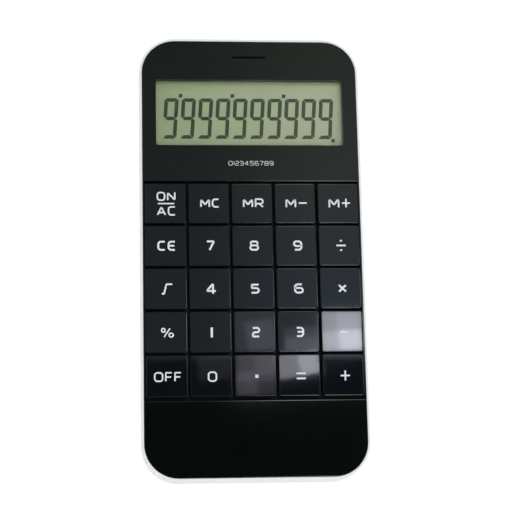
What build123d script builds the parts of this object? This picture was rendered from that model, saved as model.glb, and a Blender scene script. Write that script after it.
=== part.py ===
"""Pocket calculator shaped like a slim phone: key grid, LCD, board and button cell in a banded case.

Frame: millimetres, +Z out of the key face, +Y towards the display end, origin under the middle of the
back face. Heights are stacked up from the back face, and plan sizes grow out from the key grid.
"""

import math
import os

from build123d import *

# Key grid
COLUMNS = 5
ROWS = 5
PITCH_X = 11.55
PITCH_Y = 11.6
KEY_GAP = 0.7
KEY_SIDE_GAP = 0.2
RAIL = 0.375
KEY_NAMES = [
    ["on_clear", "memory_clear", "memory_recall", "memory_minus", "memory_plus"],
    ["clear_entry", "7", "8", "9", "divide"],
    ["root", "4", "5", "6", "multiply"],
    ["percent", "1", "2", "3", "minus"],
    ["off", "0", "point", "equals", "plus"],
]

# Front face around the key grid
RIM = 0.7
FACE_CORNER = 9.0
FACE_EDGE = 0.2
PANEL_EDGE = 0.25
CHIN_EDGE = 0.6

# Walls
FLOOR = 1.2
WALL = 1.2
PANEL = 1.5
DECK = 1.0
BACK_EDGE = 1.0
RIB = 0.6

# Side band
BAND_ABOVE_BACK = 1.4
BAND_BELOW_FACE = 0.2
BAND_EDGE = 0.25
BAND_FIT = 0.05
FLANGE = 0.7
FLANGE_INSET = 1.1
FLANGE_BELOW_DECK = 0.65

# Keys
KEY_TRAVEL = 1.0
KEY_PROUD = 0.3
CAP = 1.8
CAP_CORNER = 0.5
CAP_EDGE = 0.2
STOP_CLEAR = 0.1
STEM = 6.4
STEM_WALL = 0.8
STEM_CLEAR = 0.2
PLUNGER = 3.2
BARB_HEIGHT = 0.6
BARB_REACH = 0.5
BARB_WIDTH = 3.0
BARB_CLEAR = 0.05

# Rubber keypad
MAT_SHEET = 0.5
MAT_MARGIN = 0.5
REST_CLEAR = 0.05
DOME_SPARE = 0.3
DOME_BASE = 7.4
DOME_TOP = 4.6
DOME_WALL = 0.6
DOME_CROWN = 1.0
PLUNGER_CLEAR = 0.05
PILL = 3.0
PILL_HEIGHT = 0.3

# Circuit board
BELOW_BOARD = 1.1
BOARD = 0.8
BOARD_MARGIN = 0.8
BOARD_TAIL = 2.05
CHIP_BLOB = 9.0
CHIP_BLOB_HEIGHT = 1.0
CHIP_X = -7.0
CAPACITOR = (3.2, 1.6, 1.2)
RESISTOR = (2.0, 1.25, 0.5)
BOARD_PART_PITCH = 3.5

# Display
WINDOW_MARGIN_X = 3.75
WINDOW_MARGIN_Y = 11.0
WINDOW_HEIGHT = 18.45
WINDOW_TO_KEYS = 10.1
WINDOW_CORNER = 0.6
WINDOW_LAP = 1.0
WINDOW_PLATE = 0.9
LCD_LAP = 1.65
LCD_AIR = 0.1
LCD_FIT = 0.2
FILM = 0.2
GLASS = 0.55
CONTACT_LEDGE = 2.4
ZEBRA = 2.0
ZEBRA_END = 3.0
FOAM = 2.5
SLOT_LENGTH = 9.4
SLOT_WIDTH = 0.55
SLOT_DEPTH = 1.0
SLOT_INSET = 4.6

# Screws
CASE_SCREW = 2.0
CASE_SCREW_LENGTH = 5.0
CASE_HEAD = 3.8
CASE_HEAD_HEIGHT = 1.3
CASE_HEAD_DEPTH = 0.7
CASE_PILLAR = 5.2
PILLAR_INSET_X = 6.5
PILLAR_INSET_Y = 6.4
PILLAR_BEYOND_LCD = 0.35
BOARD_SCREW = 1.4
BOARD_HOLE_CLEAR = 0.1
BOARD_SCREW_LENGTH = 3.2
BOARD_HEAD = 2.8
BOARD_HEAD_HEIGHT = 0.8
BOARD_BOSS = 3.4
SCREW_FIT = 0.05
CROSS_WIDTH = 0.45
CROSS_REACH = 0.3
HEAD_ROUNDING = 0.25
HEAD_CLEAR = 0.3

# Battery
CELL = 11.6
CELL_HEIGHT = 3.05
CELL_CLEAR = 0.3
CELL_CAP = 9.5
CELL_CAP_HEIGHT = 0.35
BAY_WALL = 1.0
BAY_GAP = 1.2
BAY_END_GAP = 1.7
BAY_ROOF = 0.7
BAY_TRAY_LAP = 2.5
CONTACT_SPACE = 0.95
STRIP = 0.2
STRIP_WIDTH = 2.4
STRIP_OFFSET = 2.6
STRIP_CLEAR = 0.3
STRIP_PAD = 1.3
TOUCH = 0.02

# Battery door
DOOR_MARGIN = 3.2
DOOR_INSET = 0.1
DOOR_CLEAR = 0.1
TONGUE = 0.6
TONGUE_HEIGHT = 0.4
GRIP_COUNT = 4
GRIP_PITCH = 1.4
GRIP_WIDTH = 0.6
GRIP_LENGTH = 9.0
GRIP_DEPTH = 0.3

# Heights, from the back face up
board_low = FLOOR + BELOW_BOARD
board_high = board_low + BOARD
mat_high = board_high + MAT_SHEET
dome_high = mat_high + KEY_TRAVEL + DOME_SPARE
stem_low = dome_high + PLUNGER_CLEAR
barb_high = stem_low + BARB_HEIGHT
deck_low = barb_high + BARB_CLEAR
deck_high = deck_low + DECK
cap_low = deck_high + KEY_TRAVEL + STOP_CLEAR
key_high = cap_low + CAP
face_high = key_high - KEY_PROUD
panel_low = face_high - PANEL
flange_high = deck_low - FLANGE_BELOW_DECK
flange_low = flange_high - FLANGE

# Plan sizes, from the key grid out
key_width = PITCH_X - KEY_GAP
key_length = PITCH_Y - KEY_GAP
well_width = COLUMNS * PITCH_X - KEY_GAP + 2 * KEY_SIDE_GAP
well_length = ROWS * PITCH_Y + KEY_GAP
cell_radius = CELL / 2
bay_radius = cell_radius + CELL_CLEAR
bay_outer = bay_radius + BAY_WALL
panel_length = WINDOW_MARGIN_Y + WINDOW_HEIGHT + WINDOW_TO_KEYS
chin_length = BOARD_TAIL + BAY_GAP + 2 * bay_outer + BAY_END_GAP + WALL
face_width = well_width + 2 * RAIL
face_length = panel_length + well_length + chin_length
body_width = face_width + 2 * RIM
body_length = face_length + 2 * RIM
inside_width = face_width - 2 * WALL
well_top = face_length / 2 - panel_length
well_bottom = well_top - well_length
well_middle = (well_top + well_bottom) / 2

# Display places
window_width = face_width - 2 * WINDOW_MARGIN_X
window_y = face_length / 2 - WINDOW_MARGIN_Y - WINDOW_HEIGHT / 2
lcd_width = window_width + 2 * LCD_LAP
lcd_top = window_y + WINDOW_HEIGHT / 2 + LCD_LAP
lcd_bottom = window_y - WINDOW_HEIGHT / 2 - LCD_LAP - CONTACT_LEDGE + WINDOW_LAP
plate_low = panel_low - WINDOW_PLATE
front_film_low = plate_low - LCD_AIR - FILM
front_glass_low = front_film_low - GLASS
rear_glass_low = front_glass_low - GLASS
rear_film_low = rear_glass_low - FILM

# Battery places
board_end = well_bottom - BOARD_TAIL
bay_y = board_end - BAY_GAP - bay_outer
cell_high = FLOOR + CELL_HEIGHT
roof_low = cell_high + CONTACT_SPACE
door_half = cell_radius + DOOR_MARGIN
door_top = bay_y + bay_outer

# Fastener places
upper_pillar_y = lcd_top + PILLAR_BEYOND_LCD + CASE_PILLAR / 2
lower_pillar_y = -face_length / 2 + PILLAR_INSET_Y
pillar_x = face_width / 2 - PILLAR_INSET_X
case_pillars = [(side * pillar_x, y) for y in (upper_pillar_y, lower_pillar_y) for side in (-1, 1)]
board_bosses = [
    (side * 1.5 * PITCH_X, well_middle + step * PITCH_Y) for step in (1.5, -1.5) for side in (-1, 1)
]
panel_boss_y = (well_top + WALL + lcd_bottom - LCD_FIT - RIB) / 2
panel_bosses = [(side * (inside_width / 2 - BOARD_BOSS), panel_boss_y) for side in (-1, 1)]


def block(x_low, x_high, y_low, y_high, z_low, z_high):
    """Box given by its two corners."""
    centre = Pos((x_low + x_high) / 2, (y_low + y_high) / 2, (z_low + z_high) / 2)
    return centre * Box(x_high - x_low, y_high - y_low, z_high - z_low)


def slab(width, length, y, z_low, z_high, corner):
    """Round-cornered plate about the YZ plane."""
    outline = Pos(0, y, z_low) * RectangleRounded(width, length, corner)
    return extrude(outline, amount=z_high - z_low)


def rod(x, y, z_low, z_high, diameter):
    """Upright round bar."""
    return Pos(x, y, (z_low + z_high) / 2) * Cylinder(diameter / 2, z_high - z_low)


def face_slab(z_low, z_high, inset=0.0):
    """Plate with the face's outline, drawn in by inset all round."""
    return slab(face_width - 2 * inset, face_length - 2 * inset, 0, z_low, z_high, FACE_CORNER - inset)


def key_centre(row, column):
    """Middle of a key in plan; row 0 is next to the display."""
    x = (column - (COLUMNS - 1) / 2) * PITCH_X
    y = well_middle - (row - (ROWS - 1) / 2) * PITCH_Y
    return x, y


def every_key():
    """(row, column) of all keys."""
    return [(row, column) for row in range(ROWS) for column in range(COLUMNS)]


def edges_at(shape, axis, place, z):
    """Edges of shape that lie at that place on the axis and at height z."""
    tolerance = 1e-3
    found = []
    for edge in shape.edges():
        box = edge.bounding_box()
        on_axis = (box.min.X, box.max.X) if axis == Axis.X else (box.min.Y, box.max.Y)
        flat = abs(box.min.Z - z) < tolerance and abs(box.max.Z - z) < tolerance
        if flat and all(abs(value - place) < tolerance for value in on_axis):
            found.append(edge)
    return found


def strip(points, x):
    """Bent sheet-metal strip: a line of (y, z) points made STRIP thick and STRIP_WIDTH wide about x."""
    runs = []
    half = STRIP / 2
    for (y_a, z_a), (y_b, z_b) in zip(points, points[1:]):
        length = math.hypot(y_b - y_a, z_b - z_a)
        turn = math.degrees(math.atan2(z_b - z_a, y_b - y_a))
        run = Rot(turn, 0, 0) * Box(STRIP_WIDTH, length, STRIP)
        runs.append(Pos(x, (y_a + y_b) / 2, (z_a + z_b) / 2) * run)
    for y, z in points[1:-1]:
        runs.append(Pos(x, y, z) * Rot(0, 90, 0) * Cylinder(half, STRIP_WIDTH))
    return runs[0].fuse(*runs[1:])


def make_front_case():
    """Front moulding: display panel, chin, side rails and the pierced deck that carries the keys."""
    shell = face_slab(flange_high + BAND_FIT, face_high)
    shell = fillet(shell.edges().group_by(Axis.Z)[-1], FACE_EDGE)
    below = flange_high
    hollow = face_slab(below, panel_low, WALL)
    under_deck = face_slab(below, deck_low, WALL)
    reach = face_length
    panel_room = hollow & block(-reach, reach, well_top + WALL, reach, below, panel_low)
    chin_room = hollow & block(-reach, reach, -reach, well_bottom - WALL, below, panel_low)
    well = block(-well_width / 2, well_width / 2, well_bottom, well_top, deck_high, key_high)
    shell = shell - under_deck - panel_room - chin_room - well
    for place, edge in ((well_top, PANEL_EDGE), (well_bottom, CHIN_EDGE)):
        shell = fillet(edges_at(shell, Axis.Y, place, face_high), edge)

    hole = STEM + 2 * STEM_CLEAR
    holes = []
    for row, column in every_key():
        x, y = key_centre(row, column)
        holes.append(Pos(x, y, (deck_low + deck_high) / 2) * Box(hole, hole, 2 * DECK))
    window = slab(window_width, WINDOW_HEIGHT, window_y, panel_low, face_high, WINDOW_CORNER)
    slot_y = face_length / 2 - SLOT_INSET
    slot = Pos(0, slot_y, face_high - SLOT_DEPTH) * SlotOverall(SLOT_LENGTH, SLOT_WIDTH)
    shell = shell.cut(*holes, window, extrude(slot, amount=SLOT_DEPTH))

    frame_outer = block(
        -lcd_width / 2 - LCD_FIT - RIB, lcd_width / 2 + LCD_FIT + RIB,
        lcd_bottom - LCD_FIT - RIB, lcd_top + LCD_FIT + RIB, rear_glass_low, panel_low,
    )
    frame_inner = block(
        -lcd_width / 2 - LCD_FIT, lcd_width / 2 + LCD_FIT,
        lcd_bottom - LCD_FIT, lcd_top + LCD_FIT, rear_glass_low, panel_low,
    )
    lcd_frame = (frame_outer - frame_inner) & face_slab(rear_glass_low, panel_low, WALL / 2)
    pillars = [rod(x, y, flange_high + BAND_FIT, panel_low, CASE_PILLAR) for x, y in case_pillars]
    bosses = [rod(x, y, board_high, deck_low, BOARD_BOSS) for x, y in board_bosses]
    bosses += [rod(x, y, board_high, panel_low, BOARD_BOSS) for x, y in panel_bosses]
    shell = shell.fuse(lcd_frame, *pillars, *bosses)

    seat = CASE_HEAD_DEPTH + CASE_HEAD_HEIGHT
    case_tip = seat + CASE_SCREW_LENGTH + HEAD_CLEAR
    tapped = [rod(x, y, flange_low, case_tip, CASE_SCREW + 2 * SCREW_FIT) for x, y in case_pillars]
    board_tip = board_low + BOARD_SCREW_LENGTH + HEAD_CLEAR
    tapped += [rod(x, y, board_low, board_tip, BOARD_SCREW + 2 * SCREW_FIT)
               for x, y in board_bosses + panel_bosses]
    return shell.cut(*tapped)


def make_side_band():
    """Silver ring round the case, with an inner flange clamped between the front case and back cover."""
    low = BAND_ABOVE_BACK
    high = face_high - BAND_BELOW_FACE
    ring = slab(body_width, body_length, 0, low, high, FACE_CORNER + RIM)
    outer_edges = ring.edges().group_by(Axis.Z)
    ring = fillet(outer_edges[0] + outer_edges[-1], BAND_EDGE)
    ring = ring - face_slab(low, high, -BAND_FIT)
    flange = face_slab(flange_low + BAND_FIT, flange_high, -2 * BAND_FIT)
    flange = flange - face_slab(flange_low, flange_high, FLANGE_INSET)
    return ring.fuse(flange)


def make_back_cover():
    """Back tray with screw pillars, board rests, the battery bay and the opening for its door."""
    tray = face_slab(0, flange_low)
    tray = fillet(tray.edges().group_by(Axis.Z)[0], BACK_EDGE)
    tray = tray - face_slab(FLOOR, flange_low, WALL)

    pillars = [rod(x, y, FLOOR, flange_low, CASE_PILLAR) for x, y in case_pillars]
    rests = []
    for side in (-1, 1):
        for row in range(1, ROWS):
            rest_y = key_centre(row, 0)[1] + PITCH_Y / 2
            rests.append(rod(side * PITCH_X / 2, rest_y, FLOOR, board_low - REST_CLEAR, BOARD_BOSS))
    tray_half = door_half + BAY_TRAY_LAP
    bay_plate = block(-tray_half, tray_half, bay_y - bay_outer, door_top + BAY_WALL,
                      FLOOR, FLOOR + BAY_WALL)
    bay_cup = rod(0, bay_y, FLOOR, roof_low + BAY_ROOF, 2 * bay_outer)
    tray = tray.fuse(*pillars, *rests, bay_plate, bay_cup)

    seat = CASE_HEAD_DEPTH + CASE_HEAD_HEIGHT
    screw_holes = []
    for x, y in case_pillars:
        screw_holes.append(rod(x, y, 0, seat, CASE_HEAD + 2 * HEAD_CLEAR))
        screw_holes.append(rod(x, y, 0, flange_low, CASE_SCREW + HEAD_CLEAR))
    pocket = rod(0, bay_y, 0, roof_low, 2 * bay_radius)
    slit = STRIP_WIDTH / 2 + STRIP_CLEAR
    wall_line = bay_y + bay_outer
    minus_slit = block(-STRIP_OFFSET - slit, -STRIP_OFFSET + slit, bay_y, wall_line,
                       roof_low - STRIP - STRIP_CLEAR, roof_low)
    plus_slit = block(STRIP_OFFSET - slit, STRIP_OFFSET + slit, bay_y, wall_line,
                      FLOOR + BAY_WALL, cell_high)
    doorway = block(-door_half, door_half, -body_length, door_top, 0, FLOOR)
    groove = door_half + TONGUE + DOOR_CLEAR
    groove_low = (FLOOR - TONGUE_HEIGHT) / 2 - DOOR_CLEAR
    grooves = block(-groove, groove, -body_length, door_top, groove_low, FLOOR - groove_low)
    return tray.cut(*screw_holes, pocket, minus_slit, plus_slit, doorway, grooves)


def make_battery_door():
    """Sliding plate under the battery bay; its outer end carries the back cover's rounded edge."""
    high = FLOOR - DOOR_CLEAR
    top = door_top - DOOR_CLEAR
    half = door_half - DOOR_CLEAR
    plate = block(-half, half, -face_length / 2, top, DOOR_INSET, high)
    middle = FLOOR / 2
    tongue_half = half + TONGUE
    tongues = block(-tongue_half, tongue_half, -face_length / 2, top,
                    middle - TONGUE_HEIGHT / 2, middle + TONGUE_HEIGHT / 2)
    rounded = fillet(face_slab(0, FLOOR + BACK_EDGE).edges().group_by(Axis.Z)[0], BACK_EDGE)
    plate = plate.fuse(tongues) & rounded
    grips = []
    for step in range(GRIP_COUNT):
        y = bay_y - (step - (GRIP_COUNT - 1) / 2) * GRIP_PITCH
        groove = Pos(0, y, DOOR_INSET) * SlotOverall(GRIP_LENGTH, GRIP_WIDTH)
        grips.append(extrude(groove, amount=GRIP_DEPTH))
    return plate.cut(*grips)


def make_key(row, column):
    """Flat-topped keycap with a hollow square stem, a plunger and two snap barbs under the deck."""
    cap = extrude(Pos(0, 0, cap_low) * RectangleRounded(key_width, key_length, CAP_CORNER), amount=CAP)
    cap = fillet(cap.edges().group_by(Axis.Z)[-1], CAP_EDGE)
    stem_height = cap_low - stem_low
    middle = Pos(0, 0, stem_low + stem_height / 2)
    inside = STEM - 2 * STEM_WALL
    stem = middle * Box(STEM, STEM, stem_height) - middle * Box(inside, inside, stem_height)
    plunger = rod(0, 0, stem_low, cap_low, PLUNGER)
    half = STEM / 2
    barbs = []
    for side in (-1, 1):
        profile = Plane.XZ * Polygon(
            (side * (half - STEM_WALL / 2), stem_low), (side * half, stem_low),
            (side * (half + BARB_REACH), barb_high), (side * (half - STEM_WALL / 2), barb_high),
            align=None,
        )
        barbs.append(extrude(profile, amount=BARB_WIDTH / 2, both=True))
    x, y = key_centre(row, column)
    return Pos(x, y, 0) * cap.fuse(stem, plunger, *barbs)


def make_keypad_mat():
    """Silicone sheet with a hollow dome under every key and holes for the board bosses."""
    half = inside_width / 2 - MAT_MARGIN
    sheet = block(-half, half, well_bottom - MAT_MARGIN, well_top + MAT_MARGIN, board_high, mat_high)
    dome_height = dome_high - mat_high
    roof = dome_high - DOME_CROWN
    roof_radius = DOME_TOP / 2 - DOME_WALL / 2
    dome = Pos(0, 0, mat_high + dome_height / 2) * Cone(DOME_BASE / 2, DOME_TOP / 2, dome_height)
    cavity_height = roof - board_high
    cavity = Pos(0, 0, board_high + cavity_height / 2) * Cone(
        DOME_BASE / 2 - DOME_WALL, roof_radius, cavity_height)
    domes = []
    cavities = []
    for row, column in every_key():
        x, y = key_centre(row, column)
        domes.append(Pos(x, y, 0) * dome)
        cavities.append(Pos(x, y, 0) * cavity)
    clearances = [rod(x, y, board_high, mat_high, BOARD_BOSS + 2 * MAT_MARGIN) for x, y in board_bosses]
    return sheet.fuse(*domes).cut(*cavities, *clearances)


def make_carbon_pills():
    """Conductive pill under the roof of every dome."""
    roof = dome_high - DOME_CROWN
    pills = []
    for row, column in every_key():
        x, y = key_centre(row, column)
        pills.append(rod(x, y, roof - PILL_HEIGHT, roof, PILL))
    return Compound(pills)


def make_main_board():
    """Single-sided circuit board behind the keypad and the display."""
    half = inside_width / 2 - BOARD_MARGIN
    board = block(-half, half, board_end, lcd_top, board_low, board_high)
    holes = [rod(x, y, board_low, board_high, BOARD_SCREW + 2 * BOARD_HOLE_CLEAR)
             for x, y in board_bosses + panel_bosses]
    return board.cut(*holes)


def make_chip_blob():
    """Epoxy drop over the bonded calculator chip, on the board behind the display."""
    radius = (CHIP_BLOB**2 / 4 + CHIP_BLOB_HEIGHT**2) / (2 * CHIP_BLOB_HEIGHT)
    ball = Pos(0, 0, CHIP_BLOB_HEIGHT - radius) * Rot(90, 0, 0) * Sphere(radius)
    above_board = block(-CHIP_BLOB, CHIP_BLOB, -CHIP_BLOB, CHIP_BLOB, 0, 2 * CHIP_BLOB_HEIGHT)
    return Pos(CHIP_X, window_y, board_high) * (ball & above_board)


def make_board_parts():
    """Chip capacitors and a resistor beside the epoxy drop."""
    pieces = []
    x = CHIP_X + CHIP_BLOB / 2 + CAPACITOR[0]
    for step, size in ((1, CAPACITOR), (0, RESISTOR), (-1, CAPACITOR)):
        y = window_y + step * BOARD_PART_PITCH
        pieces.append(Pos(x, y, board_high + size[2] / 2) * Box(*size))
    return Compound(pieces)


def make_display_window():
    """Clear acrylic plate glued behind the opening in the panel."""
    return slab(window_width + 2 * WINDOW_LAP, WINDOW_HEIGHT + 2 * WINDOW_LAP, window_y,
                plate_low, panel_low, WINDOW_CORNER + WINDOW_LAP)


def lcd_layer(z_low, thickness, y_low):
    """One full-width layer of the display cell, from y_low to the cell's top edge."""
    return block(-lcd_width / 2, lcd_width / 2, y_low, lcd_top, z_low, z_low + thickness)


def make_lcd_layers():
    """The display cell: two glasses, of which the front one overhangs as a contact ledge, and two films."""
    short = lcd_bottom + CONTACT_LEDGE
    return {
        "lcd_front_polarizer": lcd_layer(front_film_low, FILM, short),
        "lcd_front_glass": lcd_layer(front_glass_low, GLASS, lcd_bottom),
        "lcd_rear_glass": lcd_layer(rear_glass_low, GLASS, short),
        "lcd_rear_reflector": lcd_layer(rear_film_low, FILM, short),
    }


def make_zebra_strip():
    """Elastomer connector standing on the board under the display's contact ledge."""
    half = lcd_width / 2 - ZEBRA_END
    y = lcd_bottom + (CONTACT_LEDGE - ZEBRA) / 2
    return block(-half, half, y, y + ZEBRA, board_high, front_glass_low)


def make_foam_strip():
    """Foam that holds the display's far edge up against the window plate."""
    half = lcd_width / 2 - ZEBRA_END
    return block(-half, half, lcd_top - FOAM, lcd_top, board_high, rear_film_low)


def pan_screw(diameter, length, head, head_height, seat):
    """Cross-slotted pan-head screw pointing up, its head under the seat height."""
    shank = rod(0, 0, seat, seat + length, diameter)
    cap = rod(0, 0, seat - head_height, seat, head)
    cap = fillet(cap.edges().group_by(Axis.Z)[0], HEAD_ROUNDING)
    arm = 2 * CROSS_REACH * head
    cross = Box(arm, CROSS_WIDTH, head_height) + Box(CROSS_WIDTH, arm, head_height)
    return cap.fuse(shank) - Pos(0, 0, seat - head_height) * cross


def make_screws(screw, places):
    """The same screw at every place."""
    return Compound([Pos(x, y, 0) * screw for x, y in places])


def make_button_cell():
    """Button cell, stepped in at its negative cap, which faces the board side."""
    shoulder = cell_high - CELL_CAP_HEIGHT
    can = rod(0, bay_y, FLOOR, shoulder, CELL)
    cap = rod(0, bay_y, shoulder, cell_high, CELL_CAP)
    return can.fuse(cap)


def make_minus_contact():
    """Leaf spring: from its pad on the board, up and through the bay wall, down onto the cell's cap."""
    half = STRIP / 2
    pad = board_high + half
    under_roof = roof_low - half - TOUCH
    riser = board_end - BAY_GAP / 2
    return strip(
        [
            (board_end + STRIP_PAD, pad), (riser, pad), (riser, under_roof),
            (bay_y + cell_radius / 2, under_roof), (bay_y, cell_high + half + TOUCH),
            (bay_y - cell_radius / 4, cell_high + STRIP_CLEAR + half),
        ],
        -STRIP_OFFSET,
    )


def make_plus_contact():
    """Strip from its pad on the board to the side of the cell's can."""
    half = STRIP / 2
    pad = board_high + half
    nearest = math.sqrt(cell_radius**2 - (STRIP_OFFSET - STRIP_WIDTH / 2) ** 2)
    side = bay_y + nearest + half + TOUCH
    return strip(
        [(board_end + STRIP_PAD, pad), (side, pad), (side, FLOOR + BAY_WALL + STRIP_CLEAR)],
        STRIP_OFFSET,
    )


def make_nodes():
    """Every sub-part by node name."""
    case_screw = pan_screw(CASE_SCREW, CASE_SCREW_LENGTH, CASE_HEAD, CASE_HEAD_HEIGHT,
                           CASE_HEAD_DEPTH + CASE_HEAD_HEIGHT)
    board_screw = pan_screw(BOARD_SCREW, BOARD_SCREW_LENGTH, BOARD_HEAD, BOARD_HEAD_HEIGHT, board_low)
    nodes = {
        "front_case": make_front_case(),
        "side_band": make_side_band(),
        "back_cover": make_back_cover(),
        "battery_door": make_battery_door(),
        "keypad_mat": make_keypad_mat(),
        "carbon_pills": make_carbon_pills(),
        "main_board": make_main_board(),
        "chip_blob": make_chip_blob(),
        "board_parts": make_board_parts(),
        "display_window": make_display_window(),
        "zebra_strip": make_zebra_strip(),
        "lcd_foam_strip": make_foam_strip(),
        "case_screws": make_screws(case_screw, case_pillars),
        "board_screws": make_screws(board_screw, board_bosses + panel_bosses),
        "button_cell": make_button_cell(),
        "minus_contact": make_minus_contact(),
        "plus_contact": make_plus_contact(),
    }
    nodes.update(make_lcd_layers())
    for row, column in every_key():
        nodes["key_" + KEY_NAMES[row][column]] = make_key(row, column)
    return nodes


os.makedirs("parts", exist_ok=True)
for name, shape in make_nodes().items():
    export_step(shape, f"parts/{name}.step")
print(f"body {body_width:.2f} x {body_length:.2f} x {key_high:.2f} mm")
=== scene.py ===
"""Looks of a phone-shaped pocket calculator: gloss black face and keys, printed legends, a grey-green
display with seven-segment digits, a silver side band and a textured back, in a white light tent."""

import math

import bmesh
import bpy
from mathutils import Matrix, Vector


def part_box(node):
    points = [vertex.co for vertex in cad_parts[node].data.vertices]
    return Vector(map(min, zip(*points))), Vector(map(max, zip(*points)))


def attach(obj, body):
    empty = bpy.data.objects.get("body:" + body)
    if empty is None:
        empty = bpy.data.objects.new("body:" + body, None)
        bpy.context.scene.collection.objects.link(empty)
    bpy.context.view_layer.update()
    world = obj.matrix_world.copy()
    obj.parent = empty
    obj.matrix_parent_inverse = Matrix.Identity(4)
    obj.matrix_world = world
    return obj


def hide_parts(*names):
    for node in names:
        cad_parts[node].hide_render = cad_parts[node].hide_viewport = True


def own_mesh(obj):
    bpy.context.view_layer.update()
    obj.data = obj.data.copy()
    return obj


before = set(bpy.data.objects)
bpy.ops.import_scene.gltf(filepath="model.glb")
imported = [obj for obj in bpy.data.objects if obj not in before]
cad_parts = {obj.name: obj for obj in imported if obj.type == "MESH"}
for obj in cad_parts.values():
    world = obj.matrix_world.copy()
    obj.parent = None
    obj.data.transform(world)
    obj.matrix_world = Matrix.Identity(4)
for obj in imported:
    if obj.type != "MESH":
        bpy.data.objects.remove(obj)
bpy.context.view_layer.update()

MM = 0.001

# The photograph's view: a long lens above the lower end, a little left of the middle
PHOTO_WIDTH_PX = 524
FOCAL_PX = 1700
SENSOR_MM = 36.0
CAMERA_PLACE_MM = (-36.87, -100.74, 447.4)
CAMERA_AIM_MM = (2.4, -1.3, 9.2)
CAMERA_ROLL_DEG = -1.28

# Light tent: lamp name, place, width and length in mm, power in watts and whether gloss mirrors it. All are
# aimed at the origin, under the middle of the object.
LAMPS = (
    ("right_lamp", (480, 380, 900), (400, 400), 1.9, False),
    ("front_lamp", (60, -240, 900), (500, 500), 1.45, False),
    ("edge_lamp", (145, -520, 880), (70, 380), 1.2, True),
    ("far_edge_lamp", (125, 620, 790), (80, 420), 0.55, True),
    ("side_edge_lamp", (690, 165, 690), (60, 420), 0.7, True),
    ("left_lamp", (-460, 120, 860), (400, 400), 0.7, False),
    ("right_wall", (760, -60, 330), (560, 560), 1.2, False),
    ("left_wall", (-800, -60, 230), (560, 560), 1.6, False),
    ("lower_wall", (100, -820, 260), (420, 420), 1.15, False),
)
# Small overhead lamps that single keys mirror to the camera: key, width and length as shares of the key,
# middle off the key's middle as shares of its half, turn in degrees and radiance. Each hangs a step below
# the one before it, and where two overlap, their light adds up.
GLINTS = (
    ("minus", (1.0, 1.0), (0.0, 0.0), 0.0, 6.7),
    ("minus", (0.6, 0.98), (0.35, 0.0), 0.0, 1.7),
    ("minus", (0.98, 0.48), (0.0, -0.46), 4.0, 3.3),
    ("minus", (0.55, 0.48), (0.42, -0.44), 6.0, 2.8),
    ("equals", (1.06, 0.58), (-0.07, 0.5), 9.0, 4.2),
    ("equals", (0.48, 0.5), (0.46, 0.52), 9.0, 3.5),
    ("point", (0.98, 0.98), (0.0, 0.0), 0.0, 0.65),
    ("point", (0.94, 0.62), (0.04, 0.32), 0.0, 0.62),
    ("point", (0.5, 0.55), (-0.44, -0.42), 6.0, 0.6),
    ("point", (0.5, 0.5), (0.46, 0.46), 6.0, 0.6),
    ("3", (0.85, 0.55), (0.15, -0.4), 6.0, 0.65),
    ("3", (0.85, 0.3), (0.12, -0.65), 4.0, 0.85),
    ("2", (0.98, 0.98), (0.0, 0.0), 0.0, 0.35),
    ("2", (0.7, 0.7), (0.25, -0.25), 8.0, 0.7),
    ("0", (0.8, 0.6), (0.15, 0.38), 6.0, 0.3),
)
GLINT_STEP_MM = 0.4
GLINT_COLOUR = "#F2F1FF"

# Dark hood overhead, the stretch along y over which it turns pale, and the white floor
HOOD_MIDDLE_MM = (37, 7, 455)
HOOD_SIZE_MM = (140, 76)
HOOD_PALE_FROM_MM = 18
HOOD_PALE_TO_MM = 30
FLOOR_SIDE_MM = 4000
FLOOR_DROP_MM = 0.05
FLOOR_GLOW = 0.9

# Sky of the tent: where each part of it begins and is full, as a direction's share of one axis
SKY_RIGHT = (0.05, 0.12)
SKY_FAR = (0.16, 0.25)
SKY_END = (0.27, 0.34)
SKY_ROOF = (0.72, 0.88)
SKY_WALL = (0.2, 0.1)

# Depths under a polished face between which its gloss gives way to the tool's matt finish
MATT_BELOW_MM = (0.35, 0.6)
MATT_ROUGHNESS = 0.6

# Patterns in the finishes: feature sizes and depths, and the spans of gloss or light that they give
ABS_IOR = 1.53
FLOW_MM = 9.0
HAZE_MM = 0.6
HAZE_SPAN = (0.3, 0.75)
HAZE_GLOSS = (0.8, 1.3)
RIPPLE_STRENGTH = 0.25
RIPPLE_DEPTH_MM = 0.004
SPARK_GRAIN_MM = 0.35
SPARK_STRENGTH = 0.6
SPARK_DEPTH_MM = 0.03
RUB_MM = 14.0
RUB_ROUGHNESS = (0.62, 0.42)
PLATE_GLOSS = (0.75, 1.25)
PLATE_STRENGTH = 0.15
PLATE_DEPTH_MM = 0.004
GRAIN_STRENGTH = 0.4
PANE_ROUGHNESS = 0.03
FILM_ROUGHNESS = 0.45
FILM_IOR = 1.4
SPARKLE_MM = 0.3
SPARKLE_LIGHT = (0.94, 1.06)
CRYSTAL_DRIFT_MM = 2.5
CRYSTAL_ROUGHNESS = 0.8
CRYSTAL_SHINE = 0.05

# Key grid, as the case is built
KEYS = (
    ("on_clear", "memory_clear", "memory_recall", "memory_minus", "memory_plus"),
    ("clear_entry", "7", "8", "9", "divide"),
    ("root", "4", "5", "6", "multiply"),
    ("percent", "1", "2", "3", "minus"),
    ("off", "0", "point", "equals", "plus"),
)

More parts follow.
